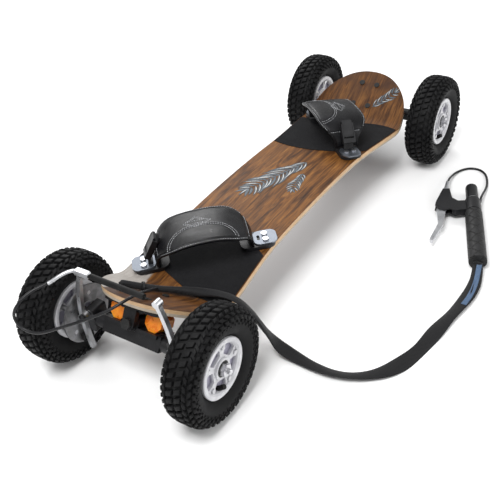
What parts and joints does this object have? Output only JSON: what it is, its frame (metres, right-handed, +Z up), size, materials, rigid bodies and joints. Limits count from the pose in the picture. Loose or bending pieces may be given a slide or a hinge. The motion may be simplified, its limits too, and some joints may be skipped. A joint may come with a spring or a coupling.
{
  "type": "mountainboard",
  "caption": "All-terrain skateboard with a kicked ply deck, sprung trucks, pneumatic knobby wheels, strap bindings and a hand-lever cable disc brake.",
  "frame": {"origin": "on the floor, midway between the two axles and between the left and right wheels", "axes": "+X to the nose, +Y to the left, +Z up"},
  "size_m": [1.0872, 0.5924, 0.2145],
  "materials": {
    "tyre_rubber": "matt black tread rubber",
    "tube_rubber": "black rubber",
    "hub_alloy": "silver-white powder coat",
    "bright_steel": "zinc-plated steel",
    "disc_steel": "grey machined disc",
    "black_steel": "black oxide steel",
    "plate_steel": "pressed steel plate",
    "black_metal": "black powder coat",
    "orange_urethane": "translucent orange urethane",
    "bush_plastic": "dark plastic bush",
    "deck_wood": "brown-stained ply, satin lacquer",
    "grip_grit": "black grit sheet",
    "pad_leather": "black synthetic leather",
    "black_plastic": "black moulded plastic",
    "silver_alloy": "satin forged alloy",
    "black_rubber": "black rubber",
    "cable_plastic": "black cable outer",
    "webbing": "black tubular webbing"
  },
  "bodies": {
    "deck": {"binding_bases": "black_plastic", "binding_bolts": "bright_steel", "binding_plates": "plate_steel", "brake_cable": "cable_plastic", "deck": "deck_wood", "front_baseplate": "black_metal", "front_binding_pad": "pad_leather", "front_shock_blocks": "orange_urethane", "grip_tape": "grip_grit", "handle_cable": "cable_plastic", "handle_grip": "black_rubber", "handle_tube": "black_metal", "ladder_straps": "black_plastic", "lever_bracket": "black_metal", "pivot_bushes": "bush_plastic", "ratchet_bodies": "black_plastic", "rear_baseplate": "black_metal", "rear_binding_pad": "pad_leather", "rear_shock_blocks": "orange_urethane", "truck_bolts": "black_steel", "webbing_sleeve": "webbing"},
    "front_left_wheel": {"front_left_tyre": "tyre_rubber", "front_left_inner_tube": "tube_rubber", "front_left_hub_halves": "hub_alloy", "front_left_bearings": "bright_steel", "front_left_hub_bolts": "bright_steel"},
    "front_right_wheel": {"front_right_tyre": "tyre_rubber", "front_right_inner_tube": "tube_rubber", "front_right_hub_halves": "hub_alloy", "front_right_bearings": "bright_steel", "front_right_hub_bolts": "bright_steel"},
    "rear_left_wheel": {"rear_left_tyre": "tyre_rubber", "rear_left_inner_tube": "tube_rubber", "rear_left_hub_halves": "hub_alloy", "rear_left_bearings": "bright_steel", "rear_left_hub_bolts": "bright_steel", "rear_left_brake_disc": "disc_steel"},
    "rear_right_wheel": {"rear_right_tyre": "tyre_rubber", "rear_right_inner_tube": "tube_rubber", "rear_right_hub_halves": "hub_alloy", "rear_right_bearings": "bright_steel", "rear_right_hub_bolts": "bright_steel", "rear_right_brake_disc": "disc_steel"},
    "front_truck": {"front_hanger": "black_metal", "front_axle": "bright_steel", "front_axle_nuts": "bright_steel"},
    "rear_truck": {"rear_hanger": "black_metal", "rear_axle": "bright_steel", "rear_axle_nuts": "bright_steel", "brake_brackets": "black_metal", "cable_boot": "black_rubber"},
    "left_arm": {"left_brake_arm": "silver_alloy", "left_brake_pad": "black_rubber", "noodle": "silver_alloy"},
    "right_arm": {"right_brake_arm": "silver_alloy", "right_brake_pad": "black_rubber"},
    "lever": {"brake_lever": "silver_alloy"},
    "adjuster": {"cable_adjuster": "silver_alloy"},
    "front_ratchet": {"front_ratchet_lever": "black_plastic"},
    "rear_ratchet": {"rear_ratchet_lever": "black_plastic"}
  },
  "joints": [
    {"name": "front_truck_tilt", "type": "hinge", "parent": "deck", "child": "front_truck", "pos_m": [0.42224, 0, 0.11264], "axis": [0.8499, 0, 0.527], "range_deg": [-7, 7], "stiffness_Nm_per_rad": 90, "deforming": ["front_shock_blocks"]},
    {"name": "rear_truck_tilt", "type": "hinge", "parent": "deck", "child": "rear_truck", "pos_m": [-0.42224, 0, 0.11264], "axis": [-0.8499, 0, 0.527], "range_deg": [-7, 7], "stiffness_Nm_per_rad": 90, "deforming": ["rear_shock_blocks", "brake_cable"]},
    {"name": "front_left_wheel_spin", "type": "hinge", "parent": "front_truck", "child": "front_left_wheel", "pos_m": [0.438, 0.1495, 0.1], "axis": [0, 1, 0], "continuous": true},
    {"name": "front_right_wheel_spin", "type": "hinge", "parent": "front_truck", "child": "front_right_wheel", "pos_m": [0.438, -0.1495, 0.1], "axis": [0, 1, 0], "continuous": true},
    {"name": "rear_left_wheel_spin", "type": "hinge", "parent": "rear_truck", "child": "rear_left_wheel", "pos_m": [-0.438, 0.1495, 0.1], "axis": [0, 1, 0], "continuous": true},
    {"name": "rear_right_wheel_spin", "type": "hinge", "parent": "rear_truck", "child": "rear_right_wheel", "pos_m": [-0.438, -0.1495, 0.1], "axis": [0, 1, 0], "continuous": true},
    {"name": "brake_lever_pull", "type": "hinge", "parent": "deck", "child": "lever", "pos_m": [0.22389, -0.26028, 0.0174], "axis": [0, 0, 1], "range_deg": [0, 22], "stiffness_Nm_per_rad": 0.6, "springref_deg": -5.73},
    {"name": "left_arm_swing", "type": "hinge", "parent": "rear_truck", "child": "left_arm", "pos_m": [-0.456, 0.091, 0.113], "axis": [1, 0, 0], "range_deg": [0, 0.8], "stiffness_Nm_per_rad": 1.5, "springref_deg": -5.73},
    {"name": "right_arm_swing", "type": "hinge", "parent": "rear_truck", "child": "right_arm", "pos_m": [-0.456, -0.091, 0.113], "axis": [1, 0, 0], "range_deg": [-0.8, 0], "stiffness_Nm_per_rad": 1.5, "springref_deg": 5.73},
    {"name": "cable_adjuster_turn", "type": "hinge", "parent": "deck", "child": "adjuster", "pos_m": [0.29698, -0.24123, 0.0174], "axis": [0.9677, 0.2521, 0], "range_deg": [-180, 180]},
    {"name": "front_ratchet_lift", "type": "hinge", "parent": "deck", "child": "front_ratchet", "pos_m": [0.17747, -0.07023, 0.16968], "axis": [0.7358, -0.6742, -0.0642], "range_deg": [0, 55], "stiffness_Nm_per_rad": 0.05, "springref_deg": -17.19},
    {"name": "rear_ratchet_lift", "type": "hinge", "parent": "deck", "child": "rear_ratchet", "pos_m": [-0.3052, 0.07023, 0.15852], "axis": [-0.7358, -0.6742, -0.0642], "range_deg": [0, 55], "stiffness_Nm_per_rad": 0.05, "springref_deg": -17.19}
  ],
  "couplings": [
    {"joint": "left_arm_swing", "follows": "brake_lever_pull", "ratio": 0.03409},
    {"joint": "right_arm_swing", "follows": "brake_lever_pull", "ratio": -0.03409}
  ]
}
